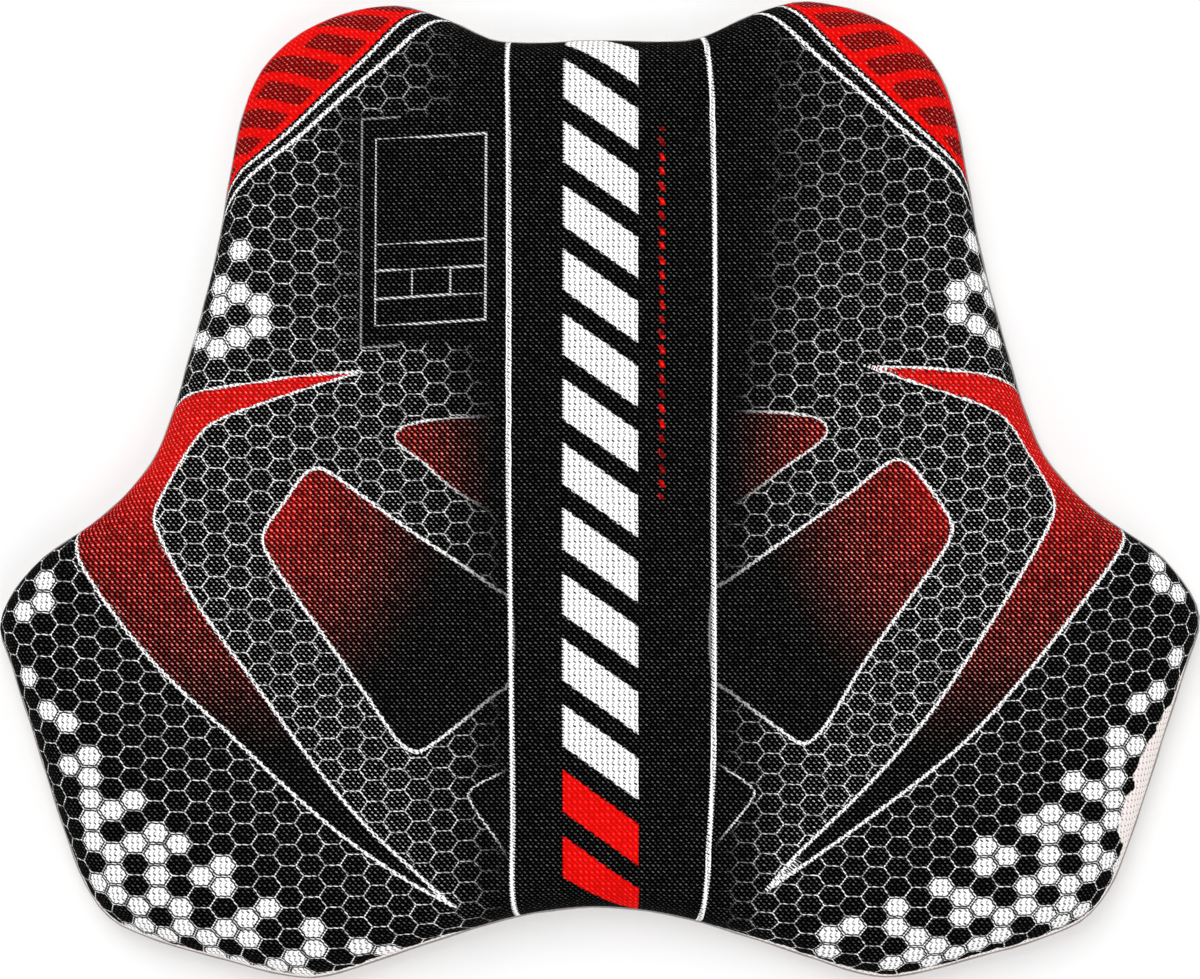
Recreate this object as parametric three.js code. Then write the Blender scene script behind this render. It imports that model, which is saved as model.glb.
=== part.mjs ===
// A rider's chest pad: a moulded foam plate in a sewn sleeve of knitted cloth.
// It lies on its back with its patterned front face up (+Z) and its collar edge towards +Y.
// Millimetres. The origin is on the resting plane, under the middle of the pad's box.
import * as THREE from "three";

// Driving sizes of the pad
const WIDTH = 310; // across the two side wings
const HEIGHT = 253; // from the shoulder crests to the lobes of the lower edge
const FLANK_THICKNESS = 17; // where the front face meets its rounded edge
const CROWN = 3; // extra thickness at the middle of the front face
const EDGE_ROUND = 13; // width of the front edge's rounding, seen from the front
const BACK_ROUND = 4.5; // width of the smaller rounding under the seam

// Driving sizes of the sleeve
const FRONT_KNIT = 1.6; // double-faced patterned knit
const BACK_KNIT = 1.3; // plain pale knit
const SEAM_LEVEL = 4.6; // middle of the side seam above the resting plane
const SEAM_TALL = 1.2; // height of the overlocked seam
const SEAM_PROUD = 0.5; // how far the seam stands out of the side wall
const CLEARANCE = 0.3; // gap between pieces that lie against each other

// How finely the curved surfaces are cut into faces
const STEPS_PER_SPAN = 2; // points of the outline for each row of its table
const FRONT_ROUND_STEPS = 7;
const BACK_ROUND_STEPS = 3;
const CROWN_STEPS = 3;
const SEAM_SIDES = 8;

// Right half of the outline, from the collar down to the lower edge.
// x is a share of half the width, y a share of the height above the lowest point.
const HALF_OUTLINE = [
  { at: "collar middle", x: 0.0, y: 0.962 },
  { at: "collar end", x: 0.167, y: 0.962 },
  { at: "neck slope", x: 0.235, y: 0.98 },
  { at: "shoulder crest", x: 0.342, y: 1.0 },
  { at: "shoulder top", x: 0.474, y: 0.981 },
  { at: "shoulder corner", x: 0.558, y: 0.94 },
  { at: "shoulder foot", x: 0.599, y: 0.883 },
  { at: "upper armhole", x: 0.636, y: 0.755 },
  { at: "middle armhole", x: 0.686, y: 0.633 },
  { at: "lower armhole", x: 0.744, y: 0.53 },
  { at: "armhole foot", x: 0.835, y: 0.469 },
  { at: "wing top", x: 0.931, y: 0.428 },
  { at: "wing shoulder", x: 0.985, y: 0.387 },
  { at: "wing tip", x: 1.0, y: 0.358 },
  { at: "wing foot", x: 0.983, y: 0.325 },
  { at: "upper flank", x: 0.939, y: 0.244 },
  { at: "lower flank", x: 0.871, y: 0.121 },
  { at: "hip", x: 0.838, y: 0.08 },
  { at: "hip corner", x: 0.792, y: 0.053 },
  { at: "outer hem", x: 0.617, y: 0.018 },
  { at: "hem lobe", x: 0.475, y: 0.0 },
  { at: "inner hem", x: 0.362, y: 0.018 },
  { at: "hem slope", x: 0.15, y: 0.059 },
  { at: "hem middle", x: 0.0, y: 0.071 },
];
const HUB_HEIGHT = 0.387; // the point that all rings close in on, as a share of the height

// The whole outline, counter-clockwise from above, centred on the origin.
function padOutline() {
  const half = HALF_OUTLINE.map(
    ({ x, y }) => new THREE.Vector3((x * WIDTH) / 2, (y - 0.5) * HEIGHT, 0),
  );
  const mirrored = half.slice(1, -1).map((p) => new THREE.Vector3(-p.x, p.y, 0));
  const loop = [...mirrored, half.at(-1), ...half.slice(0, -1).reverse()];
  const curve = new THREE.CatmullRomCurve3(loop, true, "centripetal");
  const points = curve.getPoints(loop.length * STEPS_PER_SPAN).slice(0, -1);
  const box = new THREE.Box3().setFromPoints(points);
  const middle = box.getCenter(new THREE.Vector3());
  return points.map((p) => p.sub(middle));
}

// Each outline point with the way inwards to the hub, scaled so that a step of
// one millimetre along it moves the edge in by one millimetre.
function inwardSteps(outline) {
  const hub = new THREE.Vector3(0, (HUB_HEIGHT - 0.5) * HEIGHT, 0);
  return outline.map((p, i) => {
    const before = outline.at(i - 1);
    const after = outline[(i + 1) % outline.length];
    const along = after.clone().sub(before).normalize();
    const outward = new THREE.Vector3(along.y, -along.x, 0);
    const toHub = hub.clone().sub(p).normalize();
    return { p, step: toHub.divideScalar(-toHub.dot(outward)), hub };
  });
}

const EDGE = inwardSteps(padOutline());

// The outline moved in by a distance, at a height.
function ring(inset, z) {
  return EDGE.map(({ p, step }) => p.clone().addScaledVector(step, inset).setZ(z));
}

// The rounded front edge of a body that lies `inside` the pad's outer surface by
// that much, from the crown's border down to the level `low`.
function frontEdge(inside, low) {
  const wide = EDGE_ROUND - inside;
  const tall = FLANK_THICKNESS - inside - SEAM_LEVEL;
  const start = Math.asin((low - SEAM_LEVEL) / tall);
  const rings = [];
  for (let i = FRONT_ROUND_STEPS; i >= 0; i--) {
    const turn = start + ((Math.PI / 2 - start) * i) / FRONT_ROUND_STEPS;
    rings.push(ring(inside + wide * (1 - Math.cos(turn)), SEAM_LEVEL + tall * Math.sin(turn)));
  }
  return rings;
}

// The gently crowned front face, from the hub out to the border of the rounded edge.
function frontFace(inside) {
  const border = ring(EDGE_ROUND, FLANK_THICKNESS - inside);
  const rings = [];
  for (let i = 0; i < CROWN_STEPS; i++) {
    const share = i / CROWN_STEPS;
    const rise = CROWN * (1 - share * share) ** 2;
    rings.push(
      border.map((p, k) => EDGE[k].hub.clone().lerp(p, share).setZ(p.z + rise)),
    );
  }
  return rings;
}

// The smaller rounding under the seam, from the level `high` down to the back face.
function backEdge(inside, high) {
  const wide = BACK_ROUND - inside;
  const tall = SEAM_LEVEL - inside;
  const start = Math.asin((SEAM_LEVEL - high) / tall);
  const rings = [];
  for (let i = 0; i <= BACK_ROUND_STEPS; i++) {
    const turn = start + ((Math.PI / 2 - start) * i) / BACK_ROUND_STEPS;
    rings.push(ring(inside + wide * (1 - Math.cos(turn)), SEAM_LEVEL - tall * Math.sin(turn)));
  }
  return rings;
}

// The hub point at the height of a ring, as a ring drawn together.
function pole(z) {
  return EDGE.map(({ hub }) => hub.clone().setZ(z));
}

// A closed surface through rings. It starts at a pole that faces up and ends at one
// that faces down, or with `loop` the last ring joins the first.
function skin(rings, loop = false) {
  const around = EDGE.length;
  const corners = [];
  const triangle = (a, b, c) => {
    if (a.distanceTo(b) && b.distanceTo(c) && c.distanceTo(a)) corners.push(a, b, c);
  };
  const pairs = loop ? rings.length : rings.length - 1;
  for (let i = 0; i < pairs; i++) {
    const upper = rings[i];
    const lower = rings[(i + 1) % rings.length];
    for (let k = 0; k < around; k++) {
      const next = (k + 1) % around;
      triangle(upper[k], lower[k], lower[next]);
      triangle(upper[k], lower[next], upper[next]);
    }
  }
  const geometry = new THREE.BufferGeometry().setFromPoints(corners);
  geometry.computeVertexNormals();
  return geometry;
}

function mesh(name, geometry, color, roughness) {
  const material = new THREE.MeshStandardMaterial({ color, roughness, metalness: 0 });
  const piece = new THREE.Mesh(geometry, material);
  piece.name = name;
  return piece;
}

// Front of the sleeve: a shell of patterned knit over the face and round the edge,
// down to just above the seam.
function frontCover() {
  const low = SEAM_LEVEL + SEAM_TALL / 2 + CLEARANCE;
  const outside = [...frontFace(0), ...frontEdge(0, low)];
  const inside = [...frontFace(FRONT_KNIT), ...frontEdge(FRONT_KNIT, low)];
  return mesh("front_cover", skin([...outside, ...inside.reverse()]), 0x171717, 0.9);
}

// Back of the sleeve: plain pale knit, flat underneath and turned up round the edge
// to just below the seam.
function backCover() {
  const high = SEAM_LEVEL - SEAM_TALL / 2 - CLEARANCE;
  const outside = [...backEdge(0, high), pole(0)];
  const inside = [pole(BACK_KNIT), ...backEdge(BACK_KNIT, high).reverse()];
  return mesh("back_cover", skin([...inside, ...outside]), 0xe6dedb, 0.95);
}

// The moulded foam plate, clear of both covers and of the seam.
function foamCore() {
  const underFront = FRONT_KNIT + CLEARANCE;
  const overBack = BACK_KNIT + CLEARANCE;
  const top = [...frontFace(underFront), ...frontEdge(underFront, SEAM_LEVEL)];
  const bottom = [...backEdge(underFront, SEAM_LEVEL).slice(1, -1), ring(BACK_ROUND, overBack)];
  return mesh("foam_core", skin([...top, ...bottom, pole(overBack)]), 0xd8d2c2, 1.0);
}

// The overlocked seam: a thin welt round the whole edge between the two covers.
function edgeSeam() {
  const wide = (FRONT_KNIT + SEAM_PROUD) / 2;
  const middle = FRONT_KNIT - wide;
  const rings = [];
  for (let i = 0; i < SEAM_SIDES; i++) {
    const turn = (2 * Math.PI * i) / SEAM_SIDES;
    const z = SEAM_LEVEL + (SEAM_TALL / 2) * Math.cos(turn);
    rings.push(ring(middle - wide * Math.sin(turn), z));
  }
  return mesh("edge_seam", skin(rings, true), 0x8f8b89, 0.85);
}

const pad = new THREE.Group();
pad.add(frontCover(), backCover(), foamCore(), edgeSeam());

export default pad;
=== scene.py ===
# A rider's soft chest pad, seen from the front on a pale table.
# A moulded foam plate lies in a sewn sleeve of knitted cloth, patterned in front and plain behind.
import math

import bpy
import numpy as np
from mathutils import Matrix, Vector


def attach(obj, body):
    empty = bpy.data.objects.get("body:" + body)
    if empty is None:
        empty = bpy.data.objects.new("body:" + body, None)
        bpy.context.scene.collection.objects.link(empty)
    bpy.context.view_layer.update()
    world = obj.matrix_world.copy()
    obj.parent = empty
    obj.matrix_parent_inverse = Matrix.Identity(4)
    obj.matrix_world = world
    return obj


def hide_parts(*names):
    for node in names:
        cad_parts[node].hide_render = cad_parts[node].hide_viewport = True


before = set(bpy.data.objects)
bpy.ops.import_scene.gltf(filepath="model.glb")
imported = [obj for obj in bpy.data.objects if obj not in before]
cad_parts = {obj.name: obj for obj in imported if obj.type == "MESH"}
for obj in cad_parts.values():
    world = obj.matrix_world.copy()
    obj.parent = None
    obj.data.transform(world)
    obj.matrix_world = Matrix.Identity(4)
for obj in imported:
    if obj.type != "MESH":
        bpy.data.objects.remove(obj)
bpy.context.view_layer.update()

bpy.ops.object.select_all(action="DESELECT")

# The table: a large sheet of pale matt studio board that the pad lies on, face up.
# It is only the stage, so it isn't part of the pad.


def linear(sheet_hex):
    """An sRGB hex colour as the linear colour that Blender's sockets want."""
    parts = [int(sheet_hex[i : i + 2], 16) / 255 for i in (1, 3, 5)]
    return (*[c / 12.92 if c <= 0.04045 else ((c + 0.055) / 1.055) ** 2.4 for c in parts], 1.0)


def add(kind, *given, named=None, **settings):
    """Adds one node to the tree in hand, with its settings. What goes in is given in the order of
    its inputs or by their names: a value, an output to link, or a node, of which the first output
    is linked."""
    node = tree.nodes.new(kind if kind.startswith("NodeGroup") else "ShaderNode" + kind)
    for name, setting in settings.items():
        setattr(node, name, setting)
    in_use = [socket for socket in node.inputs if socket.enabled]
    by_name = [(node.inputs[name], one) for name, one in (named or {}).items()]
    for socket, one in [*zip(in_use, given), *by_name]:
        if isinstance(one, bpy.types.Node):
            one = next(output for output in one.outputs if output.enabled)
        if isinstance(one, bpy.types.NodeSocket):
            tree.links.new(one, socket)
        else:
            socket.default_value = one
    return node


def new_material(name):
    """An empty node material, ready to be filled."""
    material = bpy.data.materials.new(name)
    material.use_nodes = True
    material.node_tree.nodes.clear()
    return material, material.node_tree


bpy.ops.mesh.primitive_plane_add(size=6.0, location=(0, 0, -0.0004))
table = bpy.context.object
table.name = "table"
board, tree = new_material("Matt white studio board")
place = add("TexCoord")
mottle = add("TexNoise", place.outputs["Object"], named={"Scale": 9.0, "Detail": 3.0})
tone = add("Mix", mottle.outputs["Fac"], linear("#f6f6f6"), linear("#fbfbfb"), data_type="RGBA")
surface = add("BsdfPrincipled", tone, named={"Roughness": 0.9})
add("OutputMaterial", surface)
table.data.materials.append(board)

# The light: one big soft box over the collar side and a smaller one over the hem, in a white room,
# so that the knit is lit evenly and the pad throws only a faint soft shadow.
# Each box has its place, its width in metres and its power in watts.
for name, spot, size, power in (
    ("collar_softbox", (-0.35, 1.1, 1.9), 1.6, 19.0),
    ("hem_softbox", (0.6, -1.2, 1.8), 1.2, 8.0),
):
    bpy.ops.object.light_add(type="AREA", location=spot)
    lamp = bpy.context.object
    lamp.name = name
    lamp.data.size = size
    lamp.data.energy = power
    lamp.rotation_euler = (Vector((0, 0, 0)) - Vector(spot)).to_track_quat("-Z", "Y").to_euler()

room = bpy.data.worlds.new("white_room")
bpy.context.scene.world = room
room.use_nodes = True
room.node_tree.nodes["Background"].inputs["Color"].default_value = linear("#ffffff")
room.node_tree.nodes["Background"].inputs["Strength"].default_value = 0.74
bpy.context.scene.view_settings.view_transform = "Standard"

# The camera: almost straight above, 3 degrees to the right and 6 degrees towards the hem,
# 1.6 m away with a long lens, so that the pad just fills the photograph's frame.
CAMERA_YAW = 3.0
CAMERA_PITCH = 6.0
CAMERA_DISTANCE = 1.6
CAMERA_AIM = Vector((0.00096, -0.00109, 0.008))
LENS = 185.8  # millimetres, on a 36 mm wide sensor
away = Vector((math.tan(math.radians(CAMERA_YAW)), -math.tan(math.radians(CAMERA_PITCH)), 1.0))
away.normalize()
right = (-away).cross(Vector((0, 1, 0))).normalized()
upward = right.cross(-away)
bpy.ops.object.camera_add()
camera = bpy.context.object
camera.name = "camera"
camera.data.sensor_width = 36.0
camera.data.lens = LENS
turn = Matrix((right, upward, away)).transposed().to_4x4()
camera.matrix_world = Matrix.Translation(CAMERA_AIM + away * CAMERA_DISTANCE) @ turn
bpy.context.scene.camera = camera

# The front of the sleeve: heavy double-faced jacquard knit of polyester, 1.6 mm thick, drawn tight
# over the crowned foam and round its edge, where it ends in the side seam. It is one knitted piece:
# the lines, colour blocks and honeycomb are in its stitches.
AROUND = 640  # columns of the mesh round the pad
CROWN_RINGS = 94  # rings of the outer face over the crown, and of its rounded edge
EDGE_RINGS = 26
LINING_EDGE_RINGS = 5  # rings of the inner face up the edge, and over the crown
LINING_RINGS = 7
FLANK = 17.0  # the pad's height where the crown starts, in millimetres as all lengths here
CROWN = 3.0  # how far the middle stands above that
EDGE_ROUND = 13.0  # width of the rounded edge
SEAM_LEVEL = 4.6
SEAM_TALL = 1.2
CLEARANCE = 0.3
FRONT_KNIT = 1.6
HUB = np.array((0.0, -28.59))  # the point that all rings close in on
RIM = SEAM_LEVEL + SEAM_TALL / 2 + CLEARANCE  # where the front ends above the seam
PUCKER = 0.16  # how far the seam draws the edge in and out
PUCKER_WAVES = (37, 52, 71, 96, 118)  # waves round the pad


def smooth_line(points, closed=False, steps=8):
    """A centripetal Catmull-Rom curve through points, as a fine polyline."""
    p = np.array(points, float)
    if closed:
        p = np.vstack([p[-1:], p, p[:2]])
    else:
        p = np.vstack([2 * p[:1] - p[1:2], p, 2 * p[-1:] - p[-2:-1]])
    out = []
    for a, b, c, d in zip(p, p[1:], p[2:], p[3:]):
        ab, bc, cd = (max(np.linalg.norm(e) ** 0.5, 1e-6) for e in (b - a, c - b, d - c))
        into = ((b - a) / ab - (c - a) / (ab + bc) + (c - b) / bc) * bc
        away_from = ((c - b) / bc - (d - b) / (bc + cd) + (d - c) / cd) * bc
        for t in np.arange(steps) / steps:
            out.append(
                (2 * t**3 - 3 * t**2 + 1) * b
                + (t**3 - 2 * t**2 + t) * into
                + (3 * t**2 - 2 * t**3) * c
                + (t**3 - t**2) * away_from
            )
    if not closed:
        out.append(p[-2])
    return np.array(out)


def outline_of(node, level, count):
    """The outer edge of a CAD node at one level, as evenly spaced points in millimetres."""
    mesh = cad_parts[node].data
    spots = np.zeros(len(mesh.vertices) * 3)
    mesh.vertices.foreach_get("co", spots)
    spots = spots.reshape(-1, 3) * 1000
    rim = np.unique(np.round(spots[abs(spots[:, 2] - level) < 0.05, :2], 2), axis=0)
    bearing = np.round(np.degrees(np.arctan2(*(rim - HUB).T[::-1])), 1)
    reach = np.linalg.norm(rim - HUB, axis=1)
    order = np.lexsort((-reach, bearing))
    rim, bearing = rim[order], bearing[order]
    outer = rim[np.r_[True, np.diff(bearing) > 0.25]]
    loop = smooth_line(outer, closed=True, steps=24)
    loop = np.vstack([loop, loop[:1]])
    walked = np.r_[0, np.cumsum(np.linalg.norm(np.diff(loop, axis=0), axis=1))]
    at = np.linspace(0, walked[-1], count, endpoint=False)
    return np.c_[np.interp(at, walked, loop[:, 0]), np.interp(at, walked, loop[:, 1])]


def inward(edge):
    """For each point of the outline, the step towards the hub that moves the edge in by 1 mm."""
    along = np.roll(edge, -1, 0) - np.roll(edge, 1, 0)
    along /= np.linalg.norm(along, axis=1)[:, None]
    outward = np.c_[along[:, 1], -along[:, 0]]
    to_hub = HUB - edge
    to_hub /= np.linalg.norm(to_hub, axis=1)[:, None]
    return to_hub / -(to_hub * outward).sum(1)[:, None]


def ball_grid(obj, around, rings):
    """Which ring and which column each vertex of a fresh ball stands in."""
    co = np.zeros(len(obj.data.vertices) * 3)
    obj.data.vertices.foreach_get("co", co)
    co = co.reshape(-1, 3)
    radius = np.linalg.norm(co, axis=1).max()
    ring = np.rint(np.arccos(np.clip(co[:, 2] / radius, -1, 1)) / np.pi * rings).astype(int)
    column = np.rint(np.arctan2(co[:, 1], co[:, 0]) / (2 * np.pi) * around).astype(int) % around
    return ring, column


edge = outline_of("front_cover", RIM, AROUND)
step = inward(edge)
border = edge + step * EDGE_ROUND
ways = edge - border
ways /= np.linalg.norm(ways, axis=1)[:, None]

# Seam pucker: the edge draws in and out by a fraction of a millimetre, as sewn knit does.
rng = np.random.default_rng(11)
walk = np.linspace(0, 2 * np.pi, AROUND, endpoint=False)
pucker = sum(
    rng.uniform(0.4, 1.0) * np.sin(waves * walk + rng.uniform(0, 6.28)) for waves in PUCKER_WAVES
)
pucker *= PUCKER / pucker.std()

# The rings from the crown's middle out to the rim and back inside, each with its place on the
# flat cloth
rows = [np.c_[np.repeat([HUB], AROUND, 0), np.full(AROUND, FLANK + CROWN)]]
cloth_rows = [np.repeat([HUB], AROUND, 0)]
for i in range(1, CROWN_RINGS + 1):
    share = i / CROWN_RINGS
    flat = HUB + (border - HUB) * share
    rows.append(np.c_[flat, np.full(AROUND, FLANK + CROWN * (1 - share**2) ** 2)])
    cloth_rows.append(flat)
tall = FLANK - SEAM_LEVEL
start = math.asin((RIM - SEAM_LEVEL) / tall)
arc = np.zeros(AROUND)
for i in range(1, EDGE_RINGS + 1):
    lean = np.pi / 2 + (start - np.pi / 2) * i / EDGE_RINGS
    swell = pucker * math.sin(math.pi * i / EDGE_RINGS) * (i / EDGE_RINGS)
    flat = edge + step * EDGE_ROUND * (1 - math.cos(lean)) - step * swell[:, None]
    now = np.c_[flat, np.full(AROUND, SEAM_LEVEL + tall * math.sin(lean))]
    arc = arc + np.linalg.norm(now - rows[-1], axis=1)
    rows.append(now)
    cloth_rows.append(border + ways * arc[:, None])
inner_tall = tall - FRONT_KNIT
inner_wide = EDGE_ROUND - FRONT_KNIT
inner_start = math.asin((RIM - SEAM_LEVEL) / inner_tall)
for i in range(LINING_EDGE_RINGS):
    lean = inner_start + (np.pi / 2 - inner_start) * i / LINING_EDGE_RINGS
    flat = edge + step * (FRONT_KNIT + inner_wide * (1 - math.cos(lean)))
    rows.append(np.c_[flat, np.full(AROUND, SEAM_LEVEL + inner_tall * math.sin(lean))])
    cloth_rows.append(cloth_rows[-1])
for i in range(LINING_RINGS, -1, -1):
    share = i / LINING_RINGS
    flat = HUB + (border - HUB) * share
    rise = FLANK - FRONT_KNIT + CROWN * (1 - share**2) ** 2
    rows.append(np.c_[flat, np.full(AROUND, rise)])
    cloth_rows.append(flat)
rows = np.array(rows)
cloth_rows = np.array(cloth_rows)

bpy.ops.mesh.primitive_uv_sphere_add(segments=AROUND, ring_count=len(rows) - 1, radius=0.1)
front = bpy.context.object
front.name = "front_sleeve"
ring, column = ball_grid(front, AROUND, len(rows) - 1)
front.data.vertices.foreach_set("co", (rows[ring, column] / 1000).ravel())
front.data.update()
cloth = cloth_rows[ring, column]
level = rows[ring, column, 2]


def give_cloth_map(obj, flat):
    """A UV map that holds the flat cloth's own coordinates in metres."""
    while obj.data.uv_layers:
        obj.data.uv_layers.remove(obj.data.uv_layers[0])
    layer = obj.data.uv_layers.new(name="Cloth")
    corner = np.zeros(len(obj.data.loops), int)
    obj.data.loops.foreach_get("vertex_index", corner)
    layer.data.foreach_set("uv", (flat[corner] / 1000).ravel())


SHARP = math.radians(55)  # edges turned more than this stay sharp
give_cloth_map(front, cloth)
bpy.ops.object.shade_smooth_by_angle(angle=SHARP)

# The knitted design, in millimetres on the flat cloth: x to the right and y up from the pad's
# middle. Each line is a table of the points that it runs through.
BAND_LEFT = [
    (-25, 132), (-23.2, 118), (-22.2, 60), (-22, 21), (-21.8, -2), (-21.2, -52), (-21, -91),
    (-21.5, -116), (-22, -134),
]
BAND_RIGHT = [
    (27, 134), (28.2, 120), (29.6, 110), (30.6, 94), (31.2, 47), (30.8, -3), (30.7, -62),
    (29.2, -96), (27.6, -115), (26, -134),
]
SHOULDER_RAIL_LEFT = [
    (-106, 71), (-96.6, 79.5), (-84.7, 86.8), (-67.6, 102.5), (-55, 114.9), (-44.8, 128),
    (-40, 137),
]
SHOULDER_LINE_LEFT = [
    (-108, 66), (-98, 74.5), (-78.8, 88.6), (-65.1, 100.8), (-51, 113.2), (-39.5, 125.7),
    (-31, 137),
]
# The right shoulder's lines mirror the left ones about x = 1.8.
MIRROR = 3.6
SHOULDER_RAIL_RIGHT = [(MIRROR - x, y) for x, y in SHOULDER_RAIL_LEFT]
SHOULDER_LINE_RIGHT = [(MIRROR - x, y) for x, y in SHOULDER_LINE_LEFT]

BLADE_LEFT = {
    "upper": [(-122, 21.5), (-107, 23.9), (-94, 25.4), (-74.5, 28), (-59.9, 28.8)],
    "inner": [
        (-59.9, 28.8), (-84.3, 21.3), (-99.3, 15.3), (-104.3, 10), (-111.1, -1.5), (-113.7, -8.3),
        (-112.5, -12.8), (-102, -31.4), (-89.7, -48.3), (-70.8, -73.9), (-58.1, -88.7),
        (-46.3, -99.7), (-35.9, -109.2),
    ],
    "outer": [
        (-35.9, -109.2), (-49.1, -101.6), (-64, -91.3), (-77.8, -79.6), (-93.6, -64.9),
        (-110.5, -49.3), (-123.6, -34), (-132.3, -21.1), (-136, -13.5), (-143, -2),
    ],
    "beyond": [(-143, -2), (-133, 18), (-122, 21.5)],
}
BLADE_RIGHT = {
    "upper": [(126, 24.5), (114, 26), (108.5, 26.4), (89.8, 28.5), (69.2, 29.6)],
    "inner": [
        (69.2, 29.6), (84.9, 24.2), (99.9, 19), (106, 15.8), (110.4, 10.4), (116.9, -1.2),
        (118.2, -6.2), (116.9, -10.8), (109.3, -24.3), (99.4, -40), (84.5, -61.7), (70, -78.2),
        (50.1, -97.6), (43.5, -105.4),
    ],
    "outer": [
        (43.5, -105.4), (56, -96.8), (70, -86.8), (93.3, -68.5), (108.9, -51.7), (123.6, -33.3),
        (133.9, -19.5), (138.5, -12.2), (147, -1),
    ],
    "beyond": [(147, -1), (138, 18), (126, 24.5)],
}
PANEL_LEFT = [
    (-22, -30), (-24.9, -27.9), (-34.7, -21), (-46.6, -13), (-58.5, -4.4), (-67.5, 2.2),
    (-71.2, 3.9), (-74.4, 2.6), (-80.2, -5.2), (-84.6, -11.4), (-85.5, -14.6), (-84.2, -18.4),
    (-68.1, -41.5), (-58.2, -55.3), (-49.4, -67.4), (-45.5, -69.5), (-41.5, -67.6), (-24.8, -54.5),
    (-22, -52.5),
]
PANEL_RIGHT = [
    (31, -28), (33.8, -26.3), (40.8, -21.3), (55.4, -10.8), (66.3, -2.9), (74.2, 3.6), (77.7, 5.3),
    (80.8, 4), (85.9, -2.1), (90.8, -9.4), (91.7, -12.6), (90.6, -16.4), (86.7, -22.4),
    (69.9, -45.8), (57.4, -65.2), (53.4, -67.8), (48.6, -64.9), (33.7, -53.7), (31, -51.8),
]
WEDGE_LEFT = [
    (-22, 17.2), (-24.9, 17.1), (-44.6, 15.6), (-49.8, 14), (-51.4, 11.8), (-49.8, 9.4),
    (-44.5, 5.4), (-36.5, -1.7), (-24.8, -8.8), (-22, -10.4),
]
WEDGE_RIGHT = [
    (31, 18), (34, 17.9), (54.5, 16.7), (58.8, 15), (59.9, 12.6), (58, 9.8), (48.7, 3),
    (42.9, -1.6), (33.8, -7.7), (31, -9.3),
]
NOTCH_LEFT = [
    (-21, -73.5), (-24, -75), (-31.2, -78.8), (-32.2, -80.4), (-31.6, -82.4), (-24, -93.4),
    (-21, -98),
]
NOTCH_RIGHT = [
    (31, -72.6), (33.6, -74.1), (39.9, -78.4), (40.9, -80), (40.2, -82), (32.1, -92.1), (30, -95),
]


def nearest(points, line):
    """Signed distance of points from a polyline, positive on its left, and its gradient."""
    best = np.full(len(points), 1e9)
    off = np.zeros((len(points), 2))
    side = np.ones(len(points))
    for a, b in zip(line, line[1:]):
        run = b - a
        along = np.clip(((points - a) @ run) / (run @ run), 0, 1)
        gap = points - a - along[:, None] * run
        far = (gap**2).sum(1)
        take = far < best
        best[take] = far[take]
        off[take] = gap[take]
        side[take] = np.where(run[0] * gap[take, 1] - run[1] * gap[take, 0] < 0, -1.0, 1.0)
    far = np.maximum(np.sqrt(best), 1e-6)
    return far * side, off / far[:, None] * side[:, None]


def inside(points, loop):
    """Which points lie inside a closed polygon."""
    odd = np.zeros(len(points), bool)
    for a, b in zip(loop, np.roll(loop, -1, 0)):
        cross = (a[1] > points[:, 1]) != (b[1] > points[:, 1])
        slope = (b[0] - a[0]) / (b[1] - a[1]) if b[1] != a[1] else 0.0
        odd ^= cross & (points[:, 0] < a[0] + slope * (points[:, 1] - a[1]))
    return odd


def ease(value, low, high):
    """0 below low, 1 above high and smooth between them."""
    t = np.clip((value - low) / (high - low), 0, 1)
    return t * t * (3 - 2 * t)


x, y = cloth.T
count = len(cloth)
FAR = -60.0  # the distance given where no line or shape is near


def field_of(lines):
    """The signed distance to the line of each part of the cloth and its gradient, in one vector."""
    field = np.zeros((count, 3))
    field[:, 0] = FAR
    for line, here in lines:
        gap, slope = nearest(cloth[here], line)
        field[here] = np.c_[gap, slope]
    return field


# Open lines: the distance is positive outside the band's edges and beyond the shoulder lines.
left_half = x < 4
upper_left = left_half & (y > 30)
upper_right = ~left_half & (y > 30)
band = field_of([(smooth_line(BAND_LEFT)[::-1], left_half), (smooth_line(BAND_RIGHT), ~left_half)])
rail = field_of(
    [
        (smooth_line(SHOULDER_RAIL_LEFT), upper_left),
        (smooth_line(SHOULDER_RAIL_RIGHT)[::-1], upper_right),
    ]
)
shoulder = field_of(
    [
        (smooth_line(SHOULDER_LINE_LEFT), upper_left),
        (smooth_line(SHOULDER_LINE_RIGHT)[::-1], upper_right),
    ]
)

# Closed shapes: the distance is positive inside the nearest one. Each has its outline's half width
# and its lightness, and the amount of red in it.
BAND_EDGES = (-22.0, 31.0)
NEARBY = 14.0  # how far round a shape its distance is worked out
from_band = np.where(left_half, BAND_EDGES[0] - x, x - BAND_EDGES[1])
shape = np.zeros((count, 3))
shape[:, 0] = FAR
line_half = np.full(count, 0.5)
line_light = np.zeros(count)
red = np.zeros(count)


def knit_shape(loop, half, light, amount):
    """Adds one closed shape to the design."""
    reach = (x > loop[:, 0].min() - NEARBY) & (x < loop[:, 0].max() + NEARBY)
    reach &= (y > loop[:, 1].min() - NEARBY) & (y < loop[:, 1].max() + NEARBY)
    near = np.flatnonzero(reach)
    gap, slope = nearest(cloth[near], np.vstack([loop, loop[:1]]))
    within = inside(cloth[near], loop)
    turned = np.where(within == (gap > 0), 1.0, -1.0)
    take = gap * turned > shape[near, 0]
    near, gap, slope, within, turned = [e[take] for e in (near, gap, slope, within, turned)]
    shape[near] = np.c_[gap * turned, slope * turned[:, None]]
    line_half[near] = np.broadcast_to(half, count)[near]
    line_light[near] = np.broadcast_to(light, count)[near]
    red[near] = np.where(within, np.broadcast_to(amount, count)[near], red[near])


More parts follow.
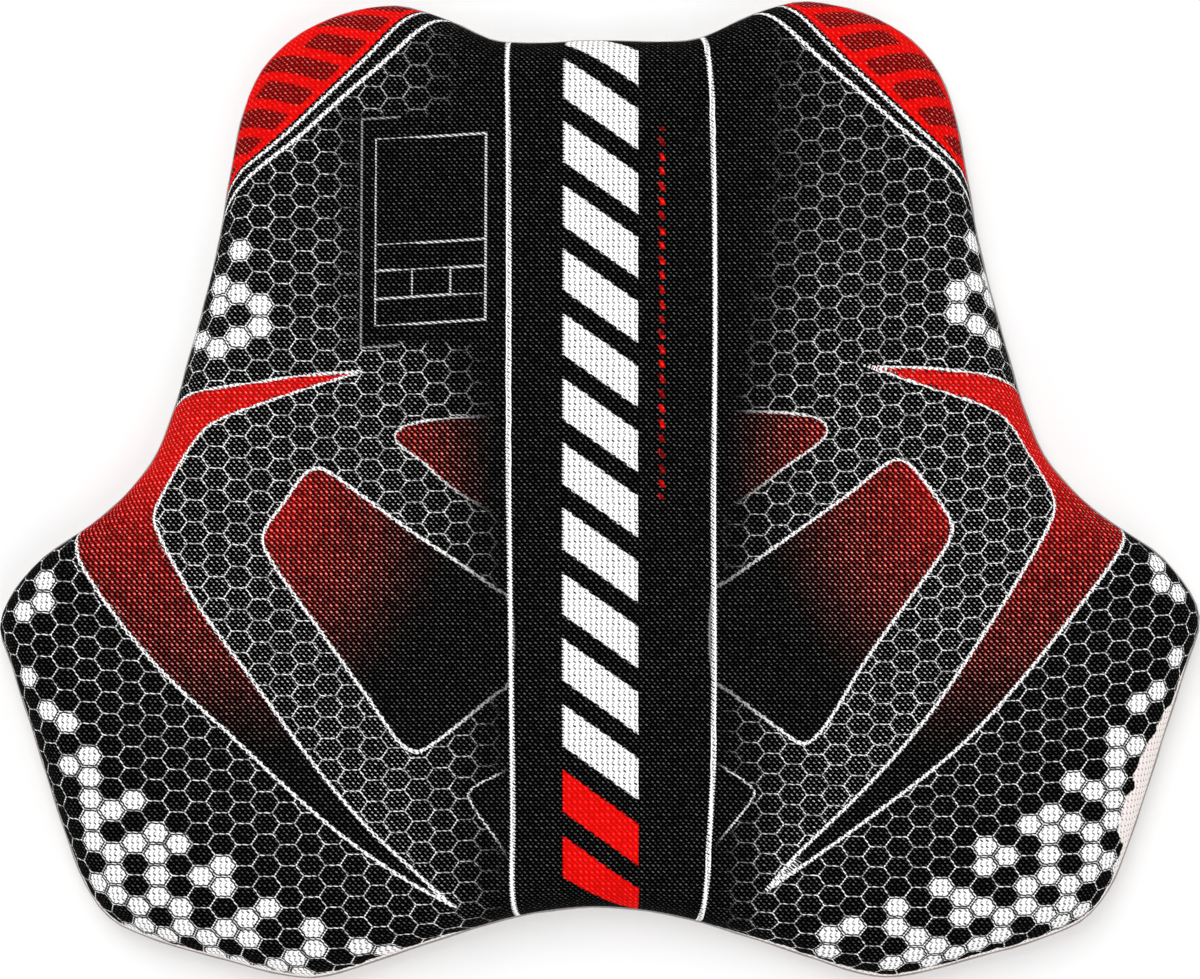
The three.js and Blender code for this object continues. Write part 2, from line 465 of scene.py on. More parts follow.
# The blades are red above and fade to black down to the hem. The cloth beyond them is the wings.
OFF_CLOTH = 200.0  # farther out than the cloth reaches
wing = np.zeros(count, bool)
blade_line = 0.38 - 0.11 * ease(y, -15, 25)
blade_red = np.clip((72 + y) / 76, 0, 1) ** 1.6
for blade, outside_x in ((BLADE_LEFT, -OFF_CLOTH), (BLADE_RIGHT, OFF_CLOTH)):
    sides = [smooth_line(blade[name])[:-1] for name in ("upper", "inner", "outer", "beyond")]
    knit_shape(np.vstack(sides), blade_line, 1.0, blade_red)
    outer = smooth_line(blade["outer"], steps=4)
    lowest = outer[abs(outer[:, 0]).argmin(), 0]
    ends = [(outside_x, outer[:, 1].max()), (outside_x, -OFF_CLOTH), (lowest, -OFF_CLOTH)]
    wing |= inside(cloth, np.vstack([outer, ends]))

# The panels are reddest at their upper outer corner, the wedges at their tip. The outlines of all
# fade towards the band.
for panel, top in ((PANEL_LEFT, (-84, -2)), (PANEL_RIGHT, (90, 0))):
    from_top = np.hypot(x - top[0], (y - top[1]) * 0.8)
    panel_red = 0.82 * np.clip(1 - from_top / 50, 0, 1) ** 1.6
    panel_light = 0.2 + 0.8 * ease(from_band, 2, 20)
    knit_shape(smooth_line(panel, closed=True), 0.37, panel_light, panel_red)
for wedge, tip in ((WEDGE_LEFT, -51), (WEDGE_RIGHT, 60)):
    wedge_red = 0.46 * np.clip(1 - abs(x - tip) / 26, 0, 1) ** 1.4
    wedge_light = 0.85 * ease(from_band, 4, 22)
    knit_shape(smooth_line(wedge, closed=True), 0.28, wedge_light, wedge_red)
for notch in (NOTCH_LEFT, NOTCH_RIGHT):
    notch_light = 0.8 * ease(from_band, 0, 5)
    knit_shape(smooth_line(notch, closed=True), 0.2, notch_light, 0.0)

# The badge at the upper left is a bare knitted frame with three rules and two ticks.
BADGE_MIDDLE = (-42.3, 65.7)
BADGE_HALF = (14.3, 24.4)  # half width and half height, as all pairs named HALF and the border
BADGE_BORDER = (18.0, 29.9)
BADGE_SLOPE = 0.045  # how much its level lines rise to the right
BADGE_RULES = (62.4, 55.5, 48.3)
BADGE_TICKS = (-4.8, 5.1)
BADGE_TICK_MIDDLE = 51.9
BADGE_TICK_HALF = 3.6

from_badge_x = abs(x - BADGE_MIDDLE[0])
from_badge_y = abs(y - BADGE_MIDDLE[1])
in_badge = (from_badge_x < BADGE_BORDER[0]) & (from_badge_y < BADGE_BORDER[1])
plain = (shape[:, 0] > 0) | in_badge | (band[:, 0] < 0)

# The honeycomb: columns of flat-topped cells at a pitch of about 5.6 mm. The two halves of the
# cloth are drawn out a little differently, so each has the place of its first cell, the steps to
# the next column and row, and how these steps change from cell to cell.
COMB_LEFT = {
    "first cell": (-102.93, -29.5),
    "one column": (5.6556, -0.1937),
    "one row": (0.1076, -5.5901),
    "column bow": (0.0043, 0.0133),
    "skew": (-0.0017, 0.0088),
    "row bow": (0.0039, 0.0069),
}
COMB_RIGHT = {
    "first cell": (102.21, -29.85),
    "one column": (5.4614, 0.2517),
    "one row": (-0.1887, -5.4966),
    "column bow": (-0.0067, 0.0178),
    "skew": (-0.0003, -0.0128),
    "row bow": (-0.0018, 0.0131),
}
# The white cells: in each column the rows, counted in half cells downwards from the first.
WHITE_LEFT = {
    -8: (2, 8), -7: (-1, 1, 11), -6: (12, 16), -5: (15, 17, 19, 21, 23, 27),
    -4: (20, 24, 26, 28, 32), -3: (19, 23, 29, 31, 33), -2: (22, 24, 26, 28, 32),
    -1: (-27, -25, 23, 29, 31), 0: (-24, 26, 32, 34),
    1: (-29, -27, -23, 25, 27, 31, 35), 2: (-32, -28, -24, 30, 32, 36), 3: (-27, -25, 29, 35, 37),
    4: (34, 36), 5: (31, 33, 37), 7: (33,), 8: (34, 36),
}
WHITE_RIGHT = {
    -7: (33, 35), -6: (32,), -4: (30, 32, 36), -3: (33, 35), -2: (-28, -26, 28, 34, 36),
    -1: (-33, -29, -25, 29, 31, 35), 0: (-30, -28, -24, 24, 26, 30, 34), 1: (25, 31, 33),
    2: (22, 28, 30), 3: (21, 23, 25, 27, 31), 4: (18, 22, 28, 30, 32), 5: (19, 23, 25, 27, 31),
    6: (14, 16, 18, 20, 22, 26), 7: (11, 15, 21, 27), 8: (-2, 0, 10, 16), 9: (1, 7),
}


def comb_place(comb, c, r):
    """Where the cell in column c and row r of a comb lies on the cloth."""
    terms = np.array([np.ones_like(c), c, r, c * c, c * r, r * r])
    return np.array(list(comb.values())).T @ terms


def comb_count(comb):
    """The column and row, with fractions, of every point of the cloth, by Newton's method."""
    first, column_step, row_step, column_bow, skew, row_bow = map(np.array, comb.values())
    c = (x - first[0]) / column_step[0]
    r = (y - first[1]) / row_step[1]
    for _ in range(8):
        at = comb_place(comb, c, r)
        xc, yc = [column_step[i] + 2 * column_bow[i] * c + skew[i] * r for i in (0, 1)]
        xr, yr = [row_step[i] + skew[i] * c + 2 * row_bow[i] * r for i in (0, 1)]
        cell_area = xc * yr - xr * yc
        c = c + (yr * (x - at[0]) - xr * (y - at[1])) / cell_area
        r = r + (xc * (y - at[1]) - yc * (x - at[0])) / cell_area
    return c, r


comb = np.zeros((count, 3))
white_cell = np.full(count, 2.0)
for lattice, whites, here in (
    (COMB_LEFT, WHITE_LEFT, left_half),
    (COMB_RIGHT, WHITE_RIGHT, ~left_half),
):
    c, r = comb_count(lattice)
    comb[here] = np.c_[c, r, np.zeros(count)][here]
    for at_column, halves in whites.items():
        for half in halves:
            dc, dr = abs(c - at_column), abs(r - half / 2)
            away_by = np.maximum(dr, 0.5 * dr + 0.75 * dc)
            white_cell = np.where(here, np.minimum(white_cell, away_by), white_cell)

# How light the honeycomb's lines and the flecks of the stitches are: clear lines and dark cells on
# the wings and the hem, fainter lines and greyer cells further in, and no lines near the band.
near_white = 1 - ease(white_cell, 1.0, 3.0)
upper = ease(y, -10, 90)
further_out = ease(from_band, 36, 66)
comb_light = np.where(wing, 1.0, 0.95 - 0.35 * upper * (1 - further_out) + 0.15 * further_out)
comb_light *= ease(from_band, 1 + 11 * upper, 18 + 16 * upper) * ~plain
comb_light *= 1 - ease(shoulder[:, 0], -0.5, 0.5)
left_of_badge = (from_badge_y < 31) & (x < -50)
comb_light *= np.where(left_of_badge, ease(-x, 60, 71), 1.0)
FAINT = 0.13  # the flecks of plain black cloth
off_band = ease(from_band, 4, 36)
fleck_light = np.where(wing, 0.22 - 0.12 * near_white, FAINT + off_band * (0.5 - 0.36 * upper))
fleck_light = np.where(plain, FAINT, fleck_light)
# Painted shade: the flecks are dimmed where the edge turns down and away from the light.
fleck_light *= 1 - 0.5 * ease(-level, -16.5, -10)  # dimmer where the edge turns down

# The shoulder corners carry plain bars of darker red, side by side beyond the shoulder line and
# slanted to it. The bars of each side are the same, mirrored.
CORNER_MIDDLE = (72.4, 103.7)  # middle of the shoulder line, out from the mirror line and up
CORNER_RUN = (0.73, 0.683)  # which way the line runs, inwards and up
CORNER_PITCH = 9.2  # from bar to bar along the line
CORNER_BAR_HALF = 3.0  # half a bar's width
CORNER_BAR_LEAN = 0.6  # how much a bar runs back as it goes out
CORNER_BAR_START = 6.0  # where the middle bar crosses the line
CORNER_BAR_FOOT = 3.2  # how far from the line all bars start, and how far out each one ends
CORNER_BAR_TOPS = np.array((9.0, 13.0, 19.0, 15.0, 21.0, 15.0, 19.0, 13.0, 9.0))
out_from_middle = abs(x - MIRROR / 2)
along_line = (CORNER_MIDDLE[0] - out_from_middle) * CORNER_RUN[0]
along_line += (y - CORNER_MIDDLE[1]) * CORNER_RUN[1]
beyond = rail[:, 0]
slanted = along_line + CORNER_BAR_LEAN * beyond - CORNER_BAR_START
bar_number = np.clip(np.rint(slanted / CORNER_PITCH), -4, 4)
bar_side = CORNER_BAR_HALF - abs(slanted - bar_number * CORNER_PITCH)
bar_top = CORNER_BAR_TOPS[bar_number.astype(int) + 4] - beyond
block = np.minimum(np.minimum(bar_side, bar_top), beyond - CORNER_BAR_FOOT)
block = np.maximum(block, -3.0)

# The middle stripe: plain slanted bars down the black band, the lowest ones red, and a fine row of
# red dashes beside them.
BAR_MIDDLE = 1.6  # the stripe's own middle line
BAR_HALF = 9.6  # half the bars' width across the band
BAR_PITCH = 16.8
BAR_TALL = 10.6  # a bar's height, upright
BAR_SLOPE = 0.72  # how much a bar falls to the right
BAR_TOP = 115.2  # middle of the uppermost bar
BARS = 14
RED_BARS = 2
DASH_LINE = 17.4
DASH_PITCH = 3.87
DASH_TOP = 92.0
DASH_LOW = -5.0
DASH_HALF = (0.62, 1.05)  # half a dash's width and height
DASH_LEAN = 0.35

# Where the print ends above the pale margin at the sides: at the seam along the collar, higher up
# the side towards the hem, and highest on the right flank, where it steps round the cells.
AT_SEAM = 4.2  # below the front's lower edge, so that no margin shows
lower = ease(-y, -5, 60)
hem = ease(-y, 85, 112)
flank = ease(-y, 44, 76) * (1 - ease(-y, 88, 106)) * (x > 0)
from_cell = np.full(count, 1.0)
for start_column, start_row in ((0.0, 0.0), (1.0, 0.5)):
    across = abs((comb[:, 0] - start_column + 1) % 2 - 1)
    down = abs((comb[:, 1] - start_row + 0.5) % 1 - 0.5)
    from_cell = np.minimum(from_cell, np.maximum(down, 0.5 * down + 0.75 * across))
margin_level = AT_SEAM + lower * 2.4 + flank * (6.8 + 2.5 * (from_cell - 0.3))
hem_level = AT_SEAM + 3.5 * ease(abs(x), 24, 45)
margin_level = margin_level * (1 - hem) + hem_level * hem
margin = margin_level - level

for name, kind, values in (
    ("band", "FLOAT_VECTOR", band),
    ("rail", "FLOAT_VECTOR", rail),
    ("shoulder", "FLOAT_VECTOR", shoulder),
    ("shape", "FLOAT_VECTOR", shape),
    ("comb", "FLOAT_VECTOR", comb),
    ("line_half", "FLOAT", line_half),
    ("line_light", "FLOAT", line_light),
    ("red", "FLOAT", red),
    ("white_cell", "FLOAT", white_cell),
    ("comb_light", "FLOAT", comb_light),
    ("fleck_light", "FLOAT", fleck_light),
    ("block", "FLOAT", block),
    ("margin", "FLOAT", margin),
):
    layer = front.data.attributes.new(name, kind, "POINT")
    layer.data.foreach_set("vector" if kind == "FLOAT_VECTOR" else "value", np.ravel(values))

# Polyester jacquard knit: matt filament yarn in black, white and red. Each stitch shows as a short
# slanted fleck of the other yarn on its ground, 1.42 mm wide and 1.63 mm tall.
STITCH_WIDE = 1.42
STITCH_TALL = 1.63
SERRATION = 0.6  # how far the slanted stitches bite into the edge of a white block, in millimetres

# A node group for one slanted yarn mark in each stitch: its middle is given in stitches, its half
# length and half width in millimetres.
mark = tree = bpy.data.node_groups.new("Stitch mark", "ShaderNodeTree")
for name, kind in (
    ("Place", "NodeSocketVector"),
    ("Middle", "NodeSocketVector"),
    ("Size", "NodeSocketVector"),
    ("Turn", "NodeSocketFloat"),
):
    mark.interface.new_socket(name, in_out="INPUT", socket_type=kind)
mark.interface.new_socket("Mask", in_out="OUTPUT", socket_type="NodeSocketFloat")
given = add("NodeGroupInput").outputs
from_middle = add("VectorMath", given["Place"], given["Middle"], operation="SUBTRACT")
in_stitch = add("VectorMath", from_middle, (0.5, 0.5, 0.5), (-0.5, -0.5, -0.5), operation="WRAP")
in_mm = add("VectorMath", in_stitch, (STITCH_WIDE, STITCH_TALL, 0), operation="MULTIPLY")
by_turn = {"Vector": in_mm, "Angle": given["Turn"]}
turned = add("VectorRotate", named=by_turn, rotation_type="Z_AXIS")
sized = add("VectorMath", turned, given["Size"], operation="DIVIDE")
far = add("VectorMath", sized, operation="LENGTH")
soft = add("MapRange", far, 1.2, 0.75, interpolation_type="SMOOTHSTEP")
add("NodeGroupOutput", soft)

# A node group that takes a distance from where it is read most of the way to the stitch's middle,
# so that the edge of a shape runs in whole stitches.
at_stitch = tree = bpy.data.node_groups.new("Distance at the stitch", "ShaderNodeTree")
for name in ("Field", "To middle"):
    at_stitch.interface.new_socket(name, in_out="INPUT", socket_type="NodeSocketVector")
at_stitch.interface.new_socket("Distance", in_out="OUTPUT", socket_type="NodeSocketFloat")
given = add("NodeGroupInput").outputs
field = add("SeparateXYZ", given["Field"]).outputs
move = add("SeparateXYZ", given["To middle"]).outputs
first = add("Math", field["Y"], move["X"], field["X"], operation="MULTIPLY_ADD")
second = add("Math", field["Z"], move["Y"], first, operation="MULTIPLY_ADD")
add("NodeGroupOutput", second)

# The stitches, drifting a little from their rows, each with its number and two random values
knit, tree = new_material("Polyester jacquard knit, patterned")
flat = add("UVMap", uv_map="Cloth")
STITCHES = (1000 / STITCH_WIDE, 1000 / STITCH_TALL, 0)  # in a metre, across and up
stitches = add("VectorMath", flat, STITCHES, operation="MULTIPLY")
uneven = add("TexNoise", stitches, named={"Scale": 0.35, "Detail": 1.0}, noise_dimensions="2D")
drift = add("VectorMath", uneven.outputs["Color"], (0.5, 0.5, 0.5), operation="SUBTRACT")
place = add("VectorMath", drift, (0.35, 0.35, 0), stitches, operation="MULTIPLY_ADD")
stitch_number = add("VectorMath", place, operation="FLOOR")
fraction = add("VectorMath", place, stitch_number, operation="SUBTRACT")
pull = (-0.2 * STITCH_WIDE, -0.2 * STITCH_TALL, 0)
to_middle = add(
    "VectorMath", fraction, pull, (-pull[0] / 2, -pull[1] / 2, 0), operation="MULTIPLY_ADD"
)
own = add("TexWhiteNoise", stitch_number, noise_dimensions="2D").outputs["Value"]
half_on = add("VectorMath", place, (100.5, 100.5, 0), operation="ADD")
half_number = add("VectorMath", half_on, operation="FLOOR")
other = add("TexWhiteNoise", half_number, noise_dimensions="2D").outputs["Value"]
fields = {
    name: add("Attribute", attribute_name=name).outputs["Vector"]
    for name in ("band", "rail", "shoulder", "shape", "comb")
}
amounts = {
    name: add("Attribute", attribute_name=name).outputs["Fac"]
    for name in (
        *("line_half", "line_light", "red", "white_cell"),
        *("comb_light", "fleck_light", "block", "margin"),
    )
}
gap = {
    name: add("Group", fields[name], to_middle, node_tree=at_stitch)
    for name in ("band", "rail", "shoulder", "shape")
}

# Marks of the yarns in each stitch: middle, half length, half width and turn in degrees
fleck, dot, body, blot, hair = [
    add("Group", place, (*middle, 0), (*half, 1), math.radians(degrees), node_tree=mark)
    for middle, half, degrees in (
        ((0.5, 0.5), (0.36, 0.14), 33),
        ((0.95, 0.0), (0.26, 0.13), 28),
        ((0.45, 0.5), (0.76, 0.36), 62),
        ((0.5, 0.3), (0.5, 0.23), 36),
        ((0.42, 0.78), (0.46, 0.16), -50),
    )
]
fleck_own = add("Math", own, 1.2, 0.35, operation="MULTIPLY_ADD")
dot_own = add("Math", other, 0.9, 0.25, operation="MULTIPLY_ADD")
bright_fleck = add("Math", fleck, fleck_own, operation="MULTIPLY")
bright_dot = add("Math", dot, dot_own, operation="MULTIPLY")
flecks = add("Math", bright_fleck, bright_dot, operation="MAXIMUM")

# The slant of the yarn, which serrates the edges of the white lines
stitch_at = add("SeparateXYZ", place).outputs
rising = add("Math", stitch_at["Y"], 2.0, operation="MULTIPLY")
slant = add("Math", stitch_at["X"], 0.8, rising, operation="MULTIPLY_ADD")
twist = add("Math", slant, 0.5, operation="PINGPONG")
serrate = add("Math", twist, SERRATION, -SERRATION / 4, operation="MULTIPLY_ADD")

# The white knitted lines: half their width, and how far they run beside their attribute's zero
masks = []
for name, half, beside in (
    ("band", 0.6, 0.0),
    ("rail", 0.38, 0.35),
    ("shoulder", 0.48, 0.0),
    ("shape", amounts["line_half"], 0.0),
):
    off = add("Math", gap[name], beside, operation="SUBTRACT")
    off = add("Math", off, operation="ABSOLUTE")
    width = add("Math", half, off, operation="SUBTRACT")
    width = add("Math", width, serrate, operation="ADD")
    masks.append(add("MapRange", width, -0.08, 0.08, interpolation_type="SMOOTHSTEP"))
line_mask = add("Math", masks.pop(), amounts["line_light"], operation="MULTIPLY")
for mask in masks:
    line_mask = add("Math", line_mask, mask, operation="MAXIMUM")

# The honeycomb: 0 in a cell's middle and 0.5 on its border. Its lines are broken by the stitches,
# and its filled cells stop short of them, which leaves a thin black ring.
COMB_LINE = (0.471, 0.491)  # where a line starts to show, and where it is full
CELL_FILL = (0.43, 0.4)  # the same for the filled cells
comb_at = add("SeparateXYZ", fields["comb"]).outputs
cells = []
for start_column, start_row in ((0.0, 0.0), (1.0, 0.5)):
    across = add("Math", comb_at["X"], start_column, operation="SUBTRACT")
    across = add("Math", across, 1.0, -1.0, operation="WRAP")
    across = add("Math", across, operation="ABSOLUTE")
    down = add("Math", comb_at["Y"], start_row, operation="SUBTRACT")
    down = add("Math", down, 0.5, -0.5, operation="WRAP")
    down = add("Math", down, operation="ABSOLUTE")
    half_down = add("Math", down, 0.5, operation="MULTIPLY")
    slope = add("Math", across, 0.75, half_down, operation="MULTIPLY_ADD")
    cells.append(add("Math", down, slope, operation="MAXIMUM"))
cell = add("Math", *cells, operation="MINIMUM")
ragged = add("Math", twist, 0.07, -0.02, operation="MULTIPLY_ADD")
comb_line = add("Math", cell, ragged, operation="ADD")
comb_line = add("MapRange", comb_line, *COMB_LINE, interpolation_type="SMOOTHSTEP")
comb_own = add("Math", other, 0.9, 0.32, operation="MULTIPLY_ADD")
comb_own = add("Math", comb_own, amounts["comb_light"], operation="MULTIPLY")
comb_line = add("Math", comb_line, comb_own, operation="MULTIPLY", use_clamp=True)
in_white = add("MapRange", amounts["white_cell"], 0.51, 0.49, interpolation_type="SMOOTHSTEP")
filled = add("Math", cell, ragged, operation="SUBTRACT")
filled = add("MapRange", filled, *CELL_FILL, interpolation_type="SMOOTHSTEP")
filled = add("Math", filled, in_white, operation="MULTIPLY")

# The bars of the middle stripe
cloth_mm = add("VectorMath", flat, (1000, 1000, 0), to_middle, operation="MULTIPLY_ADD")
cloth_at = add("SeparateXYZ", cloth_mm).outputs
bar_off = add("Math", cloth_at["X"], BAR_MIDDLE, operation="SUBTRACT")
bar_down = add("Math", bar_off, BAR_SLOPE, cloth_at["Y"], operation="MULTIPLY_ADD")
bar_down = add("Math", bar_down, BAR_TOP, operation="SUBTRACT")
from_bar = add("Math", bar_down, BAR_PITCH / 2, -BAR_PITCH / 2, operation="WRAP")
from_bar = add("Math", from_bar, operation="ABSOLUTE")
bar_end = add("Math", BAR_TALL / 2, from_bar, operation="SUBTRACT")
bar_end = add("Math", bar_end, math.cos(math.atan(BAR_SLOPE)), operation="MULTIPLY")
bar_side = add("Math", bar_off, operation="ABSOLUTE")
bar_gap = add("Math", BAR_HALF, bar_side, operation="SUBTRACT")
first_bar = add("Math", BAR_PITCH / 2, bar_down, operation="SUBTRACT")
last_bar = add("Math", bar_down, BAR_PITCH * (BARS - 0.5), operation="ADD")
for limit in (bar_end, first_bar, last_bar):
    bar_gap = add("Math", bar_gap, limit, operation="MINIMUM")
bar_gap = add("Math", bar_gap, serrate, operation="ADD")
bar_mask = add("MapRange", bar_gap, -0.14, 0.14, interpolation_type="SMOOTHSTEP")
is_red_bar = add("Math", bar_down, -BAR_PITCH * (BARS - RED_BARS - 0.5), operation="LESS_THAN")
red_bar = add("Math", bar_mask, is_red_bar, operation="MULTIPLY")
white_bar = add("Math", bar_mask, red_bar, operation="SUBTRACT")

# The row of dashes beside them
dash_down = add("Math", cloth_at["Y"], DASH_TOP, operation="SUBTRACT")
dash_down = add("Math", dash_down, DASH_PITCH / 2, -DASH_PITCH / 2, operation="WRAP")
dash_off = add("Math", cloth_at["X"], DASH_LINE, operation="SUBTRACT")
dash_off = add("Math", dash_down, DASH_LEAN, dash_off, operation="MULTIPLY_ADD")
dash_side = add("Math", dash_off, operation="ABSOLUTE")
dash_gap = add("Math", DASH_HALF[0], dash_side, operation="SUBTRACT")
dash_end = add("Math", dash_down, operation="ABSOLUTE")
dash_end = add("Math", DASH_HALF[1], dash_end, operation="SUBTRACT")
dash_top = add("Math", DASH_TOP, cloth_at["Y"], operation="SUBTRACT")
dash_low = add("Math", cloth_at["Y"], DASH_LOW, operation="SUBTRACT")
for limit in (dash_end, dash_top, dash_low):
    dash_gap = add("Math", dash_gap, limit, operation="MINIMUM")
dash_mask = add("MapRange", dash_gap, -0.15, 0.15, interpolation_type="SMOOTHSTEP")
dash_own = add("Math", own, 0.9, 0.1, operation="MULTIPLY_ADD")
dash_mask = add("Math", dash_mask, dash_own, operation="MULTIPLY")

# The badge: its frame, rules and ticks, and a fainter border round its left part
badge_x = add("Math", cloth_at["X"], BADGE_MIDDLE[0], operation="SUBTRACT")
badge_y = add("Math", cloth_at["Y"], BADGE_MIDDLE[1], operation="SUBTRACT")
badge_y = add("Math", badge_x, -BADGE_SLOPE, badge_y, operation="MULTIPLY_ADD")
reach_x = add("Math", badge_x, operation="ABSOLUTE")
reach_y = add("Math", badge_y, operation="ABSOLUTE")
frames = []
for half_x, half_y in (BADGE_HALF, BADGE_BORDER):
    past_x = add("Math", reach_x, half_x, operation="SUBTRACT")
    past_y = add("Math", reach_y, half_y, operation="SUBTRACT")
    frames.append(add("Math", past_x, past_y, operation="MAXIMUM"))
frame_gap, border_gap = frames
badge_gap = add("Math", frame_gap, operation="ABSOLUTE")
for rule in BADGE_RULES:
    rule_gap = add("Math", badge_y, rule - BADGE_MIDDLE[1], operation="SUBTRACT")
    rule_gap = add("Math", rule_gap, operation="ABSOLUTE")
    rule_gap = add("Math", rule_gap, frame_gap, operation="MAXIMUM")
    badge_gap = add("Math", badge_gap, rule_gap, operation="MINIMUM")
tick_end = add("Math", badge_y, BADGE_TICK_MIDDLE - BADGE_MIDDLE[1], operation="SUBTRACT")
tick_end = add("Math", tick_end, operation="ABSOLUTE")
tick_end = add("Math", tick_end, BADGE_TICK_HALF, operation="SUBTRACT")
for tick in BADGE_TICKS:
    tick_gap = add("Math", badge_x, tick, operation="SUBTRACT")
    tick_gap = add("Math", tick_gap, operation="ABSOLUTE")
    tick_gap = add("Math", tick_gap, tick_end, operation="MAXIMUM")
    badge_gap = add("Math", badge_gap, tick_gap, operation="MINIMUM")
badge_line = add("MapRange", badge_gap, 0.32, 0.16, interpolation_type="SMOOTHSTEP")
border_line = add("Math", border_gap, operation="ABSOLUTE")
border_line = add("MapRange", border_line, 0.28, 0.12, interpolation_type="SMOOTHSTEP")
left_part = add("Math", badge_x, -8.0, operation="LESS_THAN")
border_line = add("Math", border_line, left_part, operation="MULTIPLY")
border_line = add("Math", border_line, 0.45, operation="MULTIPLY")
badge_line = add("Math", badge_line, border_line, operation="MAXIMUM")
broken = add("Math", twist, 2.4, -0.15, operation="MULTIPLY_ADD")
badge_line = add("Math", badge_line, broken, operation="MULTIPLY", use_clamp=True)

# Black ground with grey flecks
fleck_amount = add("Math", flecks, amounts["fleck_light"], operation="MULTIPLY", use_clamp=True)
dark = add("Mix", fleck_amount, linear("#020202"), linear("#f2f2f0"), data_type="RGBA")

# Red yarn with dark gaps and pink flecks in the colour blocks, fading into the black
red_body = add("Math", body, fleck_own, operation="MULTIPLY", use_clamp=True)
full_red = add("Math", amounts["red"], 4.0, operation="POWER")
red_gap = add("Mix", full_red, linear("#0c0202"), linear("#b00a08"), data_type="RGBA")
red_yarn = add("Mix", amounts["red"], linear("#240404"), linear("#f6100c"), data_type="RGBA")
red_part = add("Mix", red_body, red_gap, red_yarn, data_type="RGBA")
pink_own = add("Math", amounts["red"], -0.45, 0.77, operation="MULTIPLY_ADD")
pink_amount = add("Math", flecks, pink_own, operation="MULTIPLY", use_clamp=True)
red_part = add("Mix", pink_amount, red_part, linear("#ffc4ba"), data_type="RGBA")
any_red = add("Math", amounts["red"], 5.0, operation="MULTIPLY")
in_shape = add("MapRange", gap["shape"], -0.15, 0.15, interpolation_type="SMOOTHSTEP")
in_red = add("Math", in_shape, any_red, operation="MULTIPLY", use_clamp=True)
dark = add("Mix", in_red, dark, red_part, data_type="RGBA")

# The shoulder corners: bright red with darker bars, in which the flecks of the other yarn show
bright_red = add("Mix", red_body, linear("#d40706"), linear("#ff0e08"), data_type="RGBA")
few_flecks = add("Math", flecks, 0.1, operation="MULTIPLY")
bright_red = add("Mix", few_flecks, bright_red, linear("#ffb0a6"), data_type="RGBA")
dark_body = add("Math", body, 0.7, operation="MULTIPLY")
dark_red = add("Mix", dark_body, linear("#400202"), linear("#940604"), data_type="RGBA")
more_flecks = add("Math", flecks, 0.5, operation="MULTIPLY")
dark_red = add("Mix", more_flecks, dark_red, linear("#ffb0a6"), data_type="RGBA")
block_gap = add("Math", amounts["block"], serrate, operation="ADD")
block_mask = add("MapRange", block_gap, -0.35, 0.35, interpolation_type="SMOOTHSTEP")
block_mask = add("Math", block_mask, 0.85, operation="MULTIPLY")
corner_yarn = add("Mix", block_mask, bright_red, dark_red, data_type="RGBA")
in_corner = add("MapRange", gap["rail"], 1.33, 1.57, interpolation_type="SMOOTHSTEP")
dark = add("Mix", in_corner, dark, corner_yarn, data_type="RGBA")
red_marks = add("Math", dash_mask, red_bar, operation="MAXIMUM")
dark = add("Mix", red_marks, dark, bright_red, data_type="RGBA")

# White ground with a dark blot and a grey hair in each stitch
grey_hair = add("Math", hair, 0.8, operation="MULTIPLY")
white_part = add("Mix", grey_hair, linear("#ffffff"), linear("#5c5c5c"), data_type="RGBA")
blot_own = add("Math", own, 0.3, 0.7, operation="MULTIPLY_ADD")
dark_blot = add("Math", blot, blot_own, operation="MULTIPLY")
white_part = add("Mix", dark_blot, white_part, linear("#1c1c1c"), data_type="RGBA")
white_amount = add("Math", line_mask, filled, operation="MAXIMUM")
white_amount = add("Math", white_amount, white_bar, operation="MAXIMUM")
thin_lines = add("Math", comb_line, badge_line, operation="MAXIMUM")
colour = add("Mix", thin_lines, dark, linear("#ffffff"), data_type="RGBA")
colour = add("Mix", white_amount, colour, white_part, data_type="RGBA")

# The pale margin below the print, with its bird's-eye flecks
margin_wave = add("TexNoise", place, named={"Scale": 0.4, "Detail": 2.0}, noise_dimensions="2D")
margin_wave = add("Math", margin_wave.outputs["Fac"], 3.0, -1.5, operation="MULTIPLY_ADD")
margin_gap = add("Math", amounts["margin"], margin_wave, operation="ADD")
in_margin = add("MapRange", margin_gap, -0.15, 0.15, interpolation_type="SMOOTHSTEP")
pale_blot = add("Math", blot, 0.8, operation="MULTIPLY")
pale_hair = add("Math", hair, 0.4, operation="MULTIPLY")
pale_marks = add("Math", pale_blot, pale_hair, operation="MAXIMUM")
pale = add("Mix", pale_marks, linear("#fbf3f0"), linear("#a4867e"), data_type="RGBA")
colour = add("Mix", in_margin, colour, pale, data_type="RGBA")

# The raised flecks and sunken hairs
raised = add("Math", fleck, 0.6, operation="MULTIPLY")
height = add("Math", dot, 0.4, raised, operation="MULTIPLY_ADD")
height = add("Math", hair, -0.3, height, operation="MULTIPLY_ADD")
bump = add("Bump", named={"Strength": 0.5, "Distance": 0.0003, "Height": height})
finish = {"Roughness": 0.9, "Specular IOR Level": 0.02}
yarn = add("BsdfPrincipled", named={"Base Color": colour, "Normal": bump, **finish})
add("OutputMaterial", yarn)
front.data.materials.clear()
front.data.materials.append(knit)
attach(front, "root")
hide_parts("front_cover")

